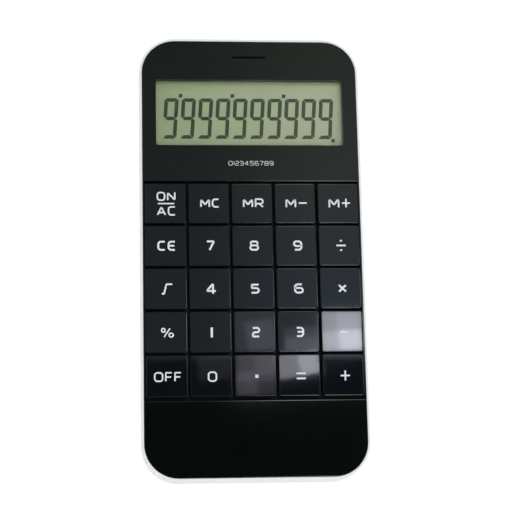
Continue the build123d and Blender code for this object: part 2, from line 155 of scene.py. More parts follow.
# Printed legends: per key, rows of (signs, cap height, middle above the legend's middle, stroke), in mm.
# The print is a little larger than the key grid and sits a little to the right of it. Its ink has a
# thickness that is a share of the stroke's width.
PRINT_GROWTH = 1.006
PRINT_SHIFT_MM = (0.36, 0.0)
INK_SHARE = 0.08
INK_STEP_MM = 0.002
SIGN_GAP_SHARE = 0.17
CORNER_STEPS = 6
LEGENDS = {
    "on_clear": (("ON", 2.5, 1.85, 0.42), ("_", 0.41, -0.15, 0.38), ("AC", 2.6, -2.15, 0.42)),
    "memory_clear": (("MC", 2.52, 0.0, 0.45),),
    "memory_recall": (("MR", 2.62, 0.0, 0.45),),
    "memory_minus": (("M-", 2.75, 0.0, 0.45),),
    "memory_plus": (("M+", 2.8, 0.0, 0.45),),
    "clear_entry": (("CE", 2.72, 0.0, 0.5),),
    "7": (("7", 2.87, 0.0, 0.52),),
    "8": (("8", 2.78, 0.0, 0.52),),
    "9": (("9", 2.8, 0.0, 0.52),),
    "divide": (("/", 3.05, 0.0, 0.48),),
    "root": (("r", 3.0, 0.0, 0.45),),
    "4": (("4", 3.12, 0.0, 0.52),),
    "5": (("5", 2.7, 0.0, 0.52),),
    "6": (("6", 2.76, 0.0, 0.52),),
    "multiply": (("x", 2.25, 0.0, 0.52),),
    "percent": (("%", 2.65, 0.0, 0.38),),
    "1": (("1", 3.25, 0.0, 0.6),),
    "2": (("2", 2.8, 0.0, 0.52),),
    "3": (("3", 2.76, 0.0, 0.52),),
    "minus": (("-", 2.6, 0.0, 0.55),),
    "off": (("OFF", 2.62, 0.0, 0.4),),
    "0": (("0", 2.76, 0.0, 0.43),),
    "point": ((".", 0.85, 0.0, 0.85),),
    "equals": (("=", 1.8, 0.0, 0.46),),
    "plus": (("+", 3.1, 0.0, 0.44),),
}

# Strokes of each sign, after the sign's width in cap heights. A stroke is the rounding of its corners in
# cap heights and its centre line on a unit square; one that ends where it began is a closed loop.
ROUND = 0.27
CRISP = 0.06
LOOP = (ROUND, ((0, 0), (1, 0), (1, 1), (0, 1), (0, 0)))
SIGNS = {
    "0": (0.9, (LOOP,)),
    "1": (0.27, ((CRISP, ((0.5, 0), (0.5, 1))),)),
    "2": (0.79, ((ROUND, ((0, 1), (1, 1), (1, 0.5), (0, 0.5), (0, 0.2))),
                 (CRISP, ((0, 0.3), (0, 0), (1, 0))))),
    "3": (0.79, ((ROUND, ((0, 1), (1, 1), (1, 0), (0, 0))), (CRISP, ((0.12, 0.52), (1, 0.52))))),
    "4": (0.96, ((CRISP, ((0.7, 1), (0, 0.28), (1, 0.28))), (CRISP, ((0.7, 1), (0.7, 0))))),
    "5": (0.9, ((CRISP, ((1, 1), (0.06, 1), (0.06, 0.57), (0.5, 0.57))),
                (ROUND, ((0.4, 0.57), (1, 0.57), (1, 0), (0, 0))))),
    "6": (0.93, ((ROUND, ((0.9, 1), (0, 1), (0, 0), (1, 0), (1, 0.56), (0, 0.56))),)),
    "7": (0.83, ((CRISP, ((0, 1), (1, 1), (0.36, 0))),)),
    "8": (0.92, ((ROUND, ((0.06, 0.53), (0.94, 0.53), (0.94, 1), (0.06, 1), (0.06, 0.53))),
                 (ROUND, ((0, 0), (1, 0), (1, 0.53), (0, 0.53), (0, 0))))),
    "9": (0.88, ((ROUND, ((0.1, 0), (1, 0), (1, 1), (0, 1), (0, 0.44), (1, 0.44))),)),
    "A": (0.95, ((CRISP, ((0, 0), (0.5, 1), (1, 0))), (CRISP, ((0.2, 0.3), (0.8, 0.3))))),
    "C": (0.82, ((ROUND, ((1, 1), (0, 1), (0, 0), (1, 0))),)),
    "E": (0.8, ((ROUND, ((1, 1), (0, 1), (0, 0), (1, 0))), (CRISP, ((0, 0.5), (0.92, 0.5))))),
    "F": (0.74, ((CRISP, ((0, 0), (0, 1), (1, 1))), (CRISP, ((0, 0.5), (0.88, 0.5))))),
    "M": (1.05, ((CRISP, ((0, 0), (0, 1), (0.5, 0.3), (1, 1), (1, 0))),)),
    "N": (0.92, ((CRISP, ((0, 0), (0, 1), (1, 0), (1, 1))),)),
    "O": (0.93, (LOOP,)),
    "R": (0.92, ((CRISP, ((0, 0), (0, 1), (0.5, 1))), (ROUND, ((0.4, 1), (1, 1), (1, 0.42), (0, 0.42))),
                 (CRISP, ((0.5, 0.42), (1, 0))))),
    "+": (0.93, ((CRISP, ((0, 0.5), (1, 0.5))), (CRISP, ((0.5, 0), (0.5, 1))))),
    "-": (0.95, ((CRISP, ((0, 0.5), (1, 0.5))),)),
    "x": (1.04, ((CRISP, ((0, 0), (1, 1))), (CRISP, ((0, 1), (1, 0))))),
    "/": (0.97, ((CRISP, ((0, 0.5), (1, 0.5))), (CRISP, ((0.39, 1), (0.61, 1))),
                 (CRISP, ((0.39, 0), (0.61, 0))))),
    "=": (1.6, ((CRISP, ((0, 0), (1, 0))), (CRISP, ((0, 1), (1, 1))))),
    "r": (1.07, ((CRISP, ((0, 0), (0.22, 0), (0.44, 1), (1, 1))),)),
    "%": (1.29, ((CRISP, ((0.22, 0), (0.72, 1))),
                 (ROUND, ((0, 0.58), (0.3, 0.58), (0.3, 1), (0, 1), (0, 0.58))),
                 (ROUND, ((0.64, 0), (1, 0), (1, 0.45), (0.64, 0.45), (0.64, 0))))),
    ".": (2.0, ((CRISP, ((0, 0.5), (1, 0.5))),)),
    "_": (11.6, ((CRISP, ((0, 0.5), (1, 0.5))),)),
}

# Small plain row of figures under the window
FIGURES = "0123456789"
FIGURES_CAP_MM = 1.25
FIGURES_STROKE_MM = 0.13
FIGURES_ABOVE_KEYS_MM = 5.75

# Display digits
DIGIT_COUNT = 10
DIGIT_PITCH_MM = 4.69
DIGIT_SIZE_MM = (3.85, 11.4)
DIGIT_LEAN_DEG = 4.0
SEGMENT_MM = 1.0
CORNER_CUT_MM = 0.55
SEGMENT_GAP_MM = 0.06
SEGMENT_HEIGHT_MM = 0.03
DIGIT_ROW_SHIFT_MM = (-0.31, -1.1)
TICK_MM = 1.0
TICK_COUNT = 3
DIGITS_PER_TICK = 3
TICK_RISE_MM = 0.75
POINT_DROP_MM = 0.45

# Key mat: its domes are parted from the sheet a little above it
MAT_SHEET_MM = 0.5
DOME_CUT_MM = 0.02
MERGE_MM = 0.0005


def linear(hex_colour):
    """Linear RGBA of an sRGB hex colour."""
    def channel(value):
        return value / 12.92 if value <= 0.04045 else ((value + 0.055) / 1.055) ** 2.4
    values = [int(hex_colour[i:i + 2], 16) / 255 for i in (1, 3, 5)]
    return tuple(channel(value) for value in values) + (1.0,)


def per_metre(size_mm):
    """Texture scale that gives features of this size."""
    return 1 / (size_mm * MM)


def add_node(tree, kind, inputs=None, **settings):
    """Adds a node. inputs maps a socket's name or number to a value, or to the socket that feeds it."""
    node = tree.nodes.new(kind)
    for name, value in settings.items():
        setattr(node, name, value)
    for name, value in (inputs or {}).items():
        if isinstance(value, bpy.types.NodeSocket):
            tree.links.new(value, node.inputs[name])
        else:
            node.inputs[name].default_value = value
    return node


def start_material(name):
    """An empty node material and its tree."""
    material = bpy.data.materials.new(name)
    material.use_nodes = True
    material.node_tree.nodes.clear()
    return material, material.node_tree


def moulded_gloss(name, dark, pale, roughness, ripple_mm, face_z):
    """Injection-moulded ABS from a tool that is polished at the face: deep black, with a faint flow ripple
    and a worn gloss there, and matt down in the gaps."""
    material, tree = start_material(name)
    place = add_node(tree, "ShaderNodeTexCoord").outputs["Object"]
    flow = add_node(tree, "ShaderNodeTexNoise", {
        "Vector": place, "Scale": per_metre(FLOW_MM), "Detail": 2.0})
    colour = add_node(tree, "ShaderNodeMix", {0: flow.outputs["Fac"], 6: linear(dark), 7: linear(pale)},
                      data_type="RGBA")
    haze = add_node(tree, "ShaderNodeTexNoise", {
        "Vector": place, "Scale": per_metre(HAZE_MM), "Detail": 6.0})
    polish = add_node(tree, "ShaderNodeMapRange", {
        "Value": haze.outputs["Fac"], "From Min": HAZE_SPAN[0], "From Max": HAZE_SPAN[1],
        "To Min": roughness * HAZE_GLOSS[0], "To Max": roughness * HAZE_GLOSS[1]})
    rise = add_node(tree, "ShaderNodeSeparateXYZ", {"Vector": place})
    gloss = add_node(tree, "ShaderNodeMapRange", {
        "Value": rise.outputs["Z"], "From Min": face_z - MATT_BELOW_MM[1] * MM,
        "From Max": face_z - MATT_BELOW_MM[0] * MM, "To Min": MATT_ROUGHNESS, "To Max": polish.outputs[0]})
    ripple = add_node(tree, "ShaderNodeTexNoise", {
        "Vector": place, "Scale": per_metre(ripple_mm), "Detail": 1.0})
    bump = add_node(tree, "ShaderNodeBump", {
        "Height": ripple.outputs["Fac"], "Strength": RIPPLE_STRENGTH, "Distance": RIPPLE_DEPTH_MM * MM})
    surface = add_node(tree, "ShaderNodeBsdfPrincipled", {
        "Base Color": colour.outputs[2], "Roughness": gloss.outputs[0], "IOR": ABS_IOR,
        "Normal": bump.outputs[0]})
    add_node(tree, "ShaderNodeOutputMaterial", {"Surface": surface.outputs[0]})
    return material


def textured_abs():
    """ABS from a spark-eroded tool: satin black with a fine even grain, drawn a little coarse to show."""
    material, tree = start_material("spark_eroded_black_abs")
    place = add_node(tree, "ShaderNodeTexCoord").outputs["Object"]
    grain = add_node(tree, "ShaderNodeTexNoise", {
        "Vector": place, "Scale": per_metre(SPARK_GRAIN_MM), "Detail": 3.0})
    rub = add_node(tree, "ShaderNodeTexNoise", {
        "Vector": place, "Scale": per_metre(RUB_MM), "Detail": 4.0})
    colour = add_node(tree, "ShaderNodeMix", {
        0: rub.outputs["Fac"], 6: linear("#121314"), 7: linear("#1E1F21")}, data_type="RGBA")
    gloss = add_node(tree, "ShaderNodeMapRange", {
        "Value": rub.outputs["Fac"], "To Min": RUB_ROUGHNESS[0], "To Max": RUB_ROUGHNESS[1]})
    bump = add_node(tree, "ShaderNodeBump", {
        "Height": grain.outputs["Fac"], "Strength": SPARK_STRENGTH, "Distance": SPARK_DEPTH_MM * MM})
    surface = add_node(tree, "ShaderNodeBsdfPrincipled", {
        "Base Color": colour.outputs[2], "Roughness": gloss.outputs[0], "IOR": ABS_IOR,
        "Normal": bump.outputs[0]})
    add_node(tree, "ShaderNodeOutputMaterial", {"Surface": surface.outputs[0]})
    return material


def plated_metal(name, dark, pale, roughness, grain_mm):
    """Bare or plated metal: its colour and gloss drift a little over fine marks."""
    material, tree = start_material(name)
    place = add_node(tree, "ShaderNodeTexCoord").outputs["Object"]
    marks = add_node(tree, "ShaderNodeTexNoise", {
        "Vector": place, "Scale": per_metre(grain_mm), "Detail": 4.0})
    colour = add_node(tree, "ShaderNodeMix", {
        0: marks.outputs["Fac"], 6: linear(dark), 7: linear(pale)}, data_type="RGBA")
    gloss = add_node(tree, "ShaderNodeMapRange", {
        "Value": marks.outputs["Fac"], "To Min": roughness * PLATE_GLOSS[0],
        "To Max": roughness * PLATE_GLOSS[1]})
    bump = add_node(tree, "ShaderNodeBump", {
        "Height": marks.outputs["Fac"], "Strength": PLATE_STRENGTH, "Distance": PLATE_DEPTH_MM * MM})
    surface = add_node(tree, "ShaderNodeBsdfPrincipled", {
        "Base Color": colour.outputs[2], "Metallic": 1.0, "Roughness": gloss.outputs[0],
        "Normal": bump.outputs[0]})
    add_node(tree, "ShaderNodeOutputMaterial", {"Surface": surface.outputs[0]})
    return material


def matt_stuff(name, dark, pale, roughness, grain_mm, grain_height_mm):
    """Matt stuff such as rubber, foam, laminate, ceramic or ink: mottled colour and a slight grain."""
    material, tree = start_material(name)
    place = add_node(tree, "ShaderNodeTexCoord").outputs["Object"]
    grain = add_node(tree, "ShaderNodeTexNoise", {
        "Vector": place, "Scale": per_metre(grain_mm), "Detail": 4.0})
    colour = add_node(tree, "ShaderNodeMix", {
        0: grain.outputs["Fac"], 6: linear(dark), 7: linear(pale)}, data_type="RGBA")
    bump = add_node(tree, "ShaderNodeBump", {
        "Height": grain.outputs["Fac"], "Strength": GRAIN_STRENGTH, "Distance": grain_height_mm * MM})
    surface = add_node(tree, "ShaderNodeBsdfPrincipled", {
        "Base Color": colour.outputs[2], "Roughness": roughness, "Normal": bump.outputs[0]})
    add_node(tree, "ShaderNodeOutputMaterial", {"Surface": surface.outputs[0]})
    return material


def clear_pane(name, tint, ior):
    """Polished clear sheet. Lamps reach what is behind it."""
    material, tree = start_material(name)
    glass = add_node(tree, "ShaderNodeBsdfPrincipled", {
        "Base Color": linear(tint), "Roughness": PANE_ROUGHNESS, "IOR": ior, "Transmission Weight": 1.0})
    through = add_node(tree, "ShaderNodeBsdfTransparent", {"Color": linear(tint)})
    ray = add_node(tree, "ShaderNodeLightPath")
    mix = add_node(tree, "ShaderNodeMixShader", {
        0: ray.outputs["Is Shadow Ray"], 1: glass.outputs[0], 2: through.outputs[0]})
    add_node(tree, "ShaderNodeOutputMaterial", {"Surface": mix.outputs[0]})
    return material


def lcd_ground():
    """Front polarizer over a reflective display: grey-green, with painted light that makes it paler and
    yellower to the right, and a satin sparkle that is drawn coarse to show."""
    material, tree = start_material("lcd_polarizer_painted_lit_right")
    place = add_node(tree, "ShaderNodeTexCoord").outputs["Object"]
    low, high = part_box("lcd_front_polarizer")
    across = add_node(tree, "ShaderNodeSeparateXYZ", {"Vector": place})
    # Painted light: the film turns paler and yellower towards the right, as if more light fell on that side
    side = add_node(tree, "ShaderNodeMapRange", {
        "Value": across.outputs["X"], "From Min": low.x, "From Max": high.x})
    tone = add_node(tree, "ShaderNodeMix", {
        0: side.outputs[0], 6: linear("#838E6B"), 7: linear("#96987A")}, data_type="RGBA")
    sparkle = add_node(tree, "ShaderNodeTexNoise", {
        "Vector": place, "Scale": per_metre(SPARKLE_MM), "Detail": 3.0})
    light = add_node(tree, "ShaderNodeMapRange", {
        "Value": sparkle.outputs["Fac"], "To Min": SPARKLE_LIGHT[0], "To Max": SPARKLE_LIGHT[1]})
    colour = add_node(tree, "ShaderNodeVectorMath", {0: tone.outputs[2], "Scale": light.outputs[0]},
                      operation="SCALE")
    surface = add_node(tree, "ShaderNodeBsdfPrincipled", {
        "Base Color": colour.outputs[0], "Roughness": FILM_ROUGHNESS, "IOR": FILM_IOR})
    add_node(tree, "ShaderNodeOutputMaterial", {"Surface": surface.outputs[0]})
    return material


def liquid_crystal():
    """Dark segments under the display's film: green-black, a little uneven, with no shine of their own."""
    material, tree = start_material("dark_liquid_crystal")
    place = add_node(tree, "ShaderNodeTexCoord").outputs["Object"]
    drift = add_node(tree, "ShaderNodeTexNoise", {
        "Vector": place, "Scale": per_metre(CRYSTAL_DRIFT_MM), "Detail": 3.0})
    colour = add_node(tree, "ShaderNodeMix", {
        0: drift.outputs["Fac"], 6: linear("#242B1D"), 7: linear("#363F2D")}, data_type="RGBA")
    surface = add_node(tree, "ShaderNodeBsdfPrincipled", {
        "Base Color": colour.outputs[2], "Roughness": CRYSTAL_ROUGHNESS,
        "Specular IOR Level": CRYSTAL_SHINE})
    add_node(tree, "ShaderNodeOutputMaterial", {"Surface": surface.outputs[0]})
    return material


def white_paper():
    """White floor of the light tent: reads as white to the eye and in metal, and keeps a soft shadow."""
    material, tree = start_material("white_tent_paper")
    paper = add_node(tree, "ShaderNodeBsdfDiffuse", {"Color": linear("#E6E6E6")})
    shade = add_node(tree, "ShaderNodeBsdfDiffuse", {"Color": linear("#8C8C8C")})
    glow = add_node(tree, "ShaderNodeEmission", {"Color": linear("#FFFFFF"), "Strength": FLOOR_GLOW})
    seen = add_node(tree, "ShaderNodeAddShader", {0: shade.outputs[0], 1: glow.outputs[0]})
    ray = add_node(tree, "ShaderNodeLightPath")
    mirrored = add_node(tree, "ShaderNodeMath", {
        0: ray.outputs["Is Camera Ray"], 1: ray.outputs["Is Glossy Ray"]}, operation="ADD")
    looked_at = add_node(tree, "ShaderNodeMath", {
        0: mirrored.outputs[0], 1: ray.outputs["Is Transmission Ray"]}, operation="ADD", use_clamp=True)
    mix = add_node(tree, "ShaderNodeMixShader", {
        0: looked_at.outputs[0], 1: paper.outputs[0], 2: seen.outputs[0]})
    add_node(tree, "ShaderNodeOutputMaterial", {"Surface": mix.outputs[0]})
    return material


def black_cloth():
    """Dark camera hood that the lower end of the gloss face mirrors, paler towards its upper edge."""
    material, tree = start_material("black_hood_cloth")
    place = add_node(tree, "ShaderNodeTexCoord").outputs["Object"]
    along = add_node(tree, "ShaderNodeSeparateXYZ", {"Vector": place})
    edge = add_node(tree, "ShaderNodeMapRange", {
        "Value": along.outputs["Y"], "From Min": HOOD_PALE_FROM_MM * MM, "From Max": HOOD_PALE_TO_MM * MM})
    colour = add_node(tree, "ShaderNodeMix", {
        0: edge.outputs[0], 6: linear("#050606"), 7: linear("#343C46")}, data_type="RGBA")
    cloth = add_node(tree, "ShaderNodeBsdfDiffuse", {"Color": colour.outputs[2]})
    add_node(tree, "ShaderNodeOutputMaterial", {"Surface": cloth.outputs[0]})
    return material


def new_object(name, mesh):
    """Links a mesh to the scene as an object at the origin."""
    thing = bpy.data.objects.new(name, mesh)
    bpy.context.scene.collection.objects.link(thing)
    return thing


def through_tree(thing, tree, values):
    """Runs a geometry tree over an object and keeps the result as its plain mesh."""
    step = thing.modifiers.new(tree.name, "NODES")
    step.node_group = tree
    for socket in tree.interface.items_tree:
        if socket.name in values:
            step[socket.identifier] = values[socket.name]
    shown = thing.evaluated_get(bpy.context.evaluated_depsgraph_get())
    mesh = bpy.data.meshes.new_from_object(shown)
    thing.modifiers.remove(step)
    thing.data = mesh
    return thing


def start_geometry(name, inputs):
    """A geometry tree with its named inputs, and its input and output nodes."""
    tree = bpy.data.node_groups.new(name, "GeometryNodeTree")
    tree.interface.new_socket("Geometry", in_out="INPUT", socket_type="NodeSocketGeometry")
    for label, kind in inputs:
        tree.interface.new_socket(label, in_out="INPUT", socket_type="NodeSocket" + kind)
    tree.interface.new_socket("Geometry", in_out="OUTPUT", socket_type="NodeSocketGeometry")
    return tree, add_node(tree, "NodeGroupInput").outputs


def ink_strokes():
    """Turns stroke lines into ribbons of ink: rounds their corners and draws a flat section along them."""
    tree, given = start_geometry("ink_strokes", (("Ink", "Float"), ("Material", "Material")))
    corner = add_node(tree, "GeometryNodeInputNamedAttribute", {"Name": "corner"}, data_type="FLOAT")
    stroke = add_node(tree, "GeometryNodeInputNamedAttribute", {"Name": "stroke"}, data_type="FLOAT")
    lines = add_node(tree, "GeometryNodeMeshToCurve", {"Mesh": given["Geometry"]})
    rounded = add_node(tree, "GeometryNodeFilletCurve", {
        "Curve": lines.outputs[0], "Radius": corner.outputs[0], "Count": CORNER_STEPS,
        "Limit Radius": True}, mode="POLY")
    upright = add_node(tree, "GeometryNodeSetCurveNormal", {"Curve": rounded.outputs[0]}, mode="Z_UP")
    section = add_node(tree, "GeometryNodeCurvePrimitiveQuadrilateral", {
        "Width": 1.0, "Height": given["Ink"]})
    ribbon = add_node(tree, "GeometryNodeCurveToMesh", {
        "Curve": upright.outputs[0], "Profile Curve": section.outputs[0], "Scale": stroke.outputs[0],
        "Fill Caps": True})
    whole = add_node(tree, "GeometryNodeRealizeInstances", {"Geometry": ribbon.outputs[0]})
    inked = add_node(tree, "GeometryNodeSetMaterial", {
        "Geometry": whole.outputs[0], "Material": given["Material"]})
    add_node(tree, "NodeGroupOutput", {"Geometry": inked.outputs[0]})
    return tree


def display_row():
    """Repeats one dark mark of the display along a row."""
    tree, given = start_geometry("display_row", (
        ("Count", "Int"), ("Pitch", "Float"), ("Material", "Material")))
    offset = add_node(tree, "ShaderNodeCombineXYZ", {"X": given["Pitch"]})
    row = add_node(tree, "GeometryNodeMeshLine", {"Count": given["Count"], "Offset": offset.outputs[0]})
    marks = add_node(tree, "GeometryNodeInstanceOnPoints", {
        "Points": row.outputs[0], "Instance": given["Geometry"]})
    whole = add_node(tree, "GeometryNodeRealizeInstances", {"Geometry": marks.outputs[0]})
    dark = add_node(tree, "GeometryNodeSetMaterial", {
        "Geometry": whole.outputs[0], "Material": given["Material"]})
    add_node(tree, "NodeGroupOutput", {"Geometry": dark.outputs[0]})
    return tree


def sign_strokes(text, cap, stroke, middle):
    """Strokes of a row of signs centred on middle: (points, corner rounding, stroke width), in mm."""
    widths = [SIGNS[sign][0] * cap for sign in text]
    gap = SIGN_GAP_SHARE * cap
    left = middle[0] - (sum(widths) + gap * (len(text) - 1)) / 2
    rise = max(cap - stroke, 0)
    strokes = []
    for sign, width in zip(text, widths):
        for corner, line in SIGNS[sign][1]:
            points = [(left + stroke / 2 + u * (width - stroke), middle[1] + (v - 0.5) * rise)
                      for u, v in line]
            strokes.append((points, corner * cap, stroke))
        left += width + gap
    return strokes


def print_strokes(name, strokes, height, tree, ink):
    """Ink ribbons along the strokes, half sunk into a surface at that height, each a step above the last
    so that crossing strokes don't share a plane."""
    points = []
    edges = []
    corners = []
    widths = []
    for step, (line, corner, width) in enumerate(strokes):
        closed = line[0] == line[-1]
        kept = line[:-1] if closed else line
        first = len(points)
        points += [(x * MM, y * MM, height + step * INK_STEP_MM * MM) for x, y in kept]
        edges += [(first + i, first + i + 1) for i in range(len(kept) - 1)]
        if closed:
            edges.append((first + len(kept) - 1, first))
        corners += [corner * MM] * len(kept)
        widths += [width * MM] * len(kept)
    mesh = bpy.data.meshes.new(name)
    mesh.from_pydata(points, edges, [])
    mesh.attributes.new("corner", "FLOAT", "POINT").data.foreach_set("value", corners)
    mesh.attributes.new("stroke", "FLOAT", "POINT").data.foreach_set("value", widths)
    return through_tree(new_object(name, mesh), tree, {"Ink": INK_SHARE, "Material": ink})


def add_legends(tree, ink):
    """Prints each key's legend on its top."""
    for name in (key for row in KEYS for key in row):
        low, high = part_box("key_" + name)
        middle = (low + high) / 2 / MM * PRINT_GROWTH
        x, y = middle.x + PRINT_SHIFT_MM[0], middle.y + PRINT_SHIFT_MM[1]
        strokes = []
        for text, cap, rise, stroke in LEGENDS[name]:
            strokes += sign_strokes(text, cap, stroke, (x, y + rise))
        legend = print_strokes("legend_" + name, strokes, high.z, tree, ink)
        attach(legend, "key_" + name)


def add_figures(tree, ink):
    """Prints the small row of figures between the window and the keys."""
    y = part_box("key_" + KEYS[0][0])[1].y / MM + FIGURES_ABOVE_KEYS_MM
    strokes = sign_strokes(FIGURES, FIGURES_CAP_MM, FIGURES_STROKE_MM, (0.0, y))
    figures = print_strokes("panel_figures", strokes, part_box("front_case")[1].z, tree, ink)
    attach(figures, "case")


def segment_outline(start, end, outward, cuts):
    """Display segment between two corners of a digit: its ends are mitred towards the inside, and each
    outer corner is cut back, as far as the segment's width where the end is a point."""
    half = SEGMENT_MM / 2
    outline = []
    for here, there, cut in ((start, end, cuts[0]), (end, start, cuts[1])):
        along = (there - here).normalized()
        corner = here + along * SEGMENT_GAP_MM + (outward - along) * half
        inward = along - outward
        ending = [corner + along * cut, corner + inward * cut / 2, corner + inward * SEGMENT_MM]
        outline += ending if here == start else reversed(ending)
    return outline


def add_plate(mesh, outline, lean):
    """Adds a flat plate of the outline to a bmesh, sheared by lean, standing on height 0."""
    layers = []
    for height in (0.0, SEGMENT_HEIGHT_MM):
        layers.append([mesh.verts.new(((p.x + lean * p.y) * MM, p.y * MM, height * MM)) for p in outline])
    below, above = layers
    mesh.faces.new(reversed(below))
    mesh.faces.new(above)
    for i in range(len(outline)):
        j = (i + 1) % len(outline)
        mesh.faces.new((below[i], below[j], above[j], above[i]))


def tick_outline():
    """Square tick."""
    half = TICK_MM / 2
    return [Vector(corner) for corner in ((-half, -half), (half, -half), (half, half), (-half, half))]


def add_marks(name, outlines, first, count, pitch, tree, dark):
    """Dark plates on the display's film, repeated in a row from first, in mm about the window's middle."""
    lean = math.tan(math.radians(DIGIT_LEAN_DEG))
    plates = bmesh.new()
    for outline in outlines:
        add_plate(plates, outline, lean)
    bmesh.ops.recalc_face_normals(plates, faces=plates.faces)
    mesh = bpy.data.meshes.new(name)
    plates.to_mesh(mesh)
    plates.free()
    low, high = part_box("display_window")
    x = (low.x + high.x) / 2 + (first[0] + lean * first[1] + DIGIT_ROW_SHIFT_MM[0]) * MM
    y = (low.y + high.y) / 2 + (first[1] + DIGIT_ROW_SHIFT_MM[1]) * MM
    mesh.transform(Matrix.Translation((x, y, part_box("lcd_front_polarizer")[1].z)))
    marks = through_tree(new_object(name, mesh), tree, {
        "Count": count, "Pitch": pitch * MM, "Material": dark})
    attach(marks, "case")


def add_digits(dark):
    """Row of nines on the display, with ticks between the thousands and a point after the last digit."""
    tree = display_row()
    right = Vector(((DIGIT_SIZE_MM[0] - SEGMENT_MM) / 2, 0))
    top = Vector((0, (DIGIT_SIZE_MM[1] - SEGMENT_MM) / 2))
    across = right.normalized()
    upward = top.normalized()
    mitre = CORNER_CUT_MM
    point = SEGMENT_MM
    segments = [segment_outline(*bar) for bar in (
        (top - right, top + right, upward, (mitre, mitre)),
        (-right, right, upward, (point, point)),
        (-top - right, right - top, -upward, (mitre, mitre)),
        (-right, top - right, -across, (point, mitre)),
        (right, top + right, across, (point, mitre)),
        (right - top, right, across, (mitre, point)),
    )]
    first = -(DIGIT_COUNT - 1) / 2 * DIGIT_PITCH_MM
    add_marks("lcd_digits", segments, (first, 0), DIGIT_COUNT, DIGIT_PITCH_MM, tree, dark)
    tick = (first + DIGIT_PITCH_MM / 2, DIGIT_SIZE_MM[1] / 2 + TICK_RISE_MM)
    add_marks("lcd_ticks", [tick_outline()], tick, TICK_COUNT, DIGITS_PER_TICK * DIGIT_PITCH_MM, tree, dark)
    last = (first + (DIGIT_COUNT - 0.5) * DIGIT_PITCH_MM, -DIGIT_SIZE_MM[1] / 2 - POINT_DROP_MM)
    add_marks("lcd_point", [tick_outline()], last, 1, 0, tree, dark)


def nearest_key(point, middles):
    """Key whose middle is nearest to a point."""
    return min(middles, key=lambda name: (middles[name] - point).xy.length_squared)


def merged_copy(node):
    """Copy of a CAD node's mesh, with its loose triangles joined."""
    mesh = bmesh.new()
    mesh.from_mesh(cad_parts[node].data)
    bmesh.ops.remove_doubles(mesh, verts=mesh.verts, dist=MERGE_MM * MM)
    return mesh


def cut_mat(height, above, middles):
    """Part of the key mat above or below a level, with the cut walls of its domes closed."""
    mesh = merged_copy("keypad_mat")
    cut = bmesh.ops.bisect_plane(
        mesh, geom=mesh.verts[:] + mesh.edges[:] + mesh.faces[:], plane_co=(0, 0, height),
        plane_no=(0, 0, 1), clear_inner=above, clear_outer=not above)
    rims = {name: [] for name in middles}
    for edge in cut["geom_cut"]:
        if isinstance(edge, bmesh.types.BMEdge):
            rims[nearest_key(edge.verts[0].co, middles)].append(edge)
    for rim in rims.values():
        bmesh.ops.bridge_loops(mesh, edges=rim)
    bmesh.ops.recalc_face_normals(mesh, faces=mesh.faces)
    return mesh


def add_mat_piece(name, faces, material, node):
    """Piece of the key mat from some faces of a mesh."""
    corners = {corner: number for number, corner in enumerate(dict.fromkeys(
        corner for face in faces for corner in face.verts))}
    mesh = bpy.data.meshes.new(name)
    mesh.from_pydata([corner.co for corner in corners], [],
                     [[corners[corner] for corner in face.verts] for face in faces])
    mesh.materials.append(material)
    piece = new_object(name, mesh)
    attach(piece, "case")
    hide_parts(node)
    return piece


def add_soft_pieces(label, mesh, material, node, middles):
    """One soft piece under each key, from the faces nearest to that key's middle."""
    cells = {name: [] for name in middles}
    for face in mesh.faces:
        cells[nearest_key(face.calc_center_median(), middles)].append(face)
    for name, faces in cells.items():
        piece = add_mat_piece(label + name, faces, material, node)
        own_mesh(piece)


def add_key_mat():
    """Silicone mat: a sheet, and under each key a dome with its carbon pill, each a piece of its own. The
    moulded rubber is an even dull grey, and the pills are a dead black."""
    silicone = matt_stuff("grey_silicone", "#8D9093", "#999C9F", 0.6, 1.5, 0.02)
    carbon = matt_stuff("carbon_rubber", "#191919", "#232323", 0.8, 0.3, 0.01)
    middles = {name: sum(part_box("key_" + name), Vector()) / 2 for row in KEYS for name in row}
    low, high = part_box("keypad_mat")
    cut = low.z + (MAT_SHEET_MM + DOME_CUT_MM) * MM
    sheet = cut_mat(cut, False, middles)
    add_mat_piece("mat_sheet", sheet.faces, silicone, "keypad_mat")
    sheet.free()
    domes = cut_mat(cut, True, middles)
    add_soft_pieces("mat_dome_", domes, silicone, "keypad_mat", middles)
    domes.free()
    pills = merged_copy("carbon_pills")
    add_soft_pieces("mat_pill_", pills, carbon, "carbon_pills", middles)
    pills.free()


def dress(nodes, material):
    """Gives CAD nodes their material."""
    for name in nodes:
        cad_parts[name].data.materials.clear()
        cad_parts[name].data.materials.append(material)


def add_lamp(name, place, aim, size, watts, turn=0.0, mirrored=True, colour="#FFFFFF"):
    """Soft rectangular lamp, turned about its own beam; gloss shows it only if it is mirrored."""
    lamp = bpy.data.lights.new(name, "AREA")
    lamp.shape = "RECTANGLE"
    lamp.size, lamp.size_y = size
    lamp.energy = watts
    lamp.color = linear(colour)[:3]
    thing = bpy.data.objects.new(name, lamp)
    beam = (aim - place).to_track_quat("-Z", "Y").to_matrix()
    spin = Matrix.Rotation(math.radians(turn), 3, "Z")
    thing.matrix_world = Matrix.Translation(place) @ (beam @ spin).to_4x4()
    thing.visible_camera = False
    thing.visible_glossy = mirrored
    bpy.context.scene.collection.objects.link(thing)


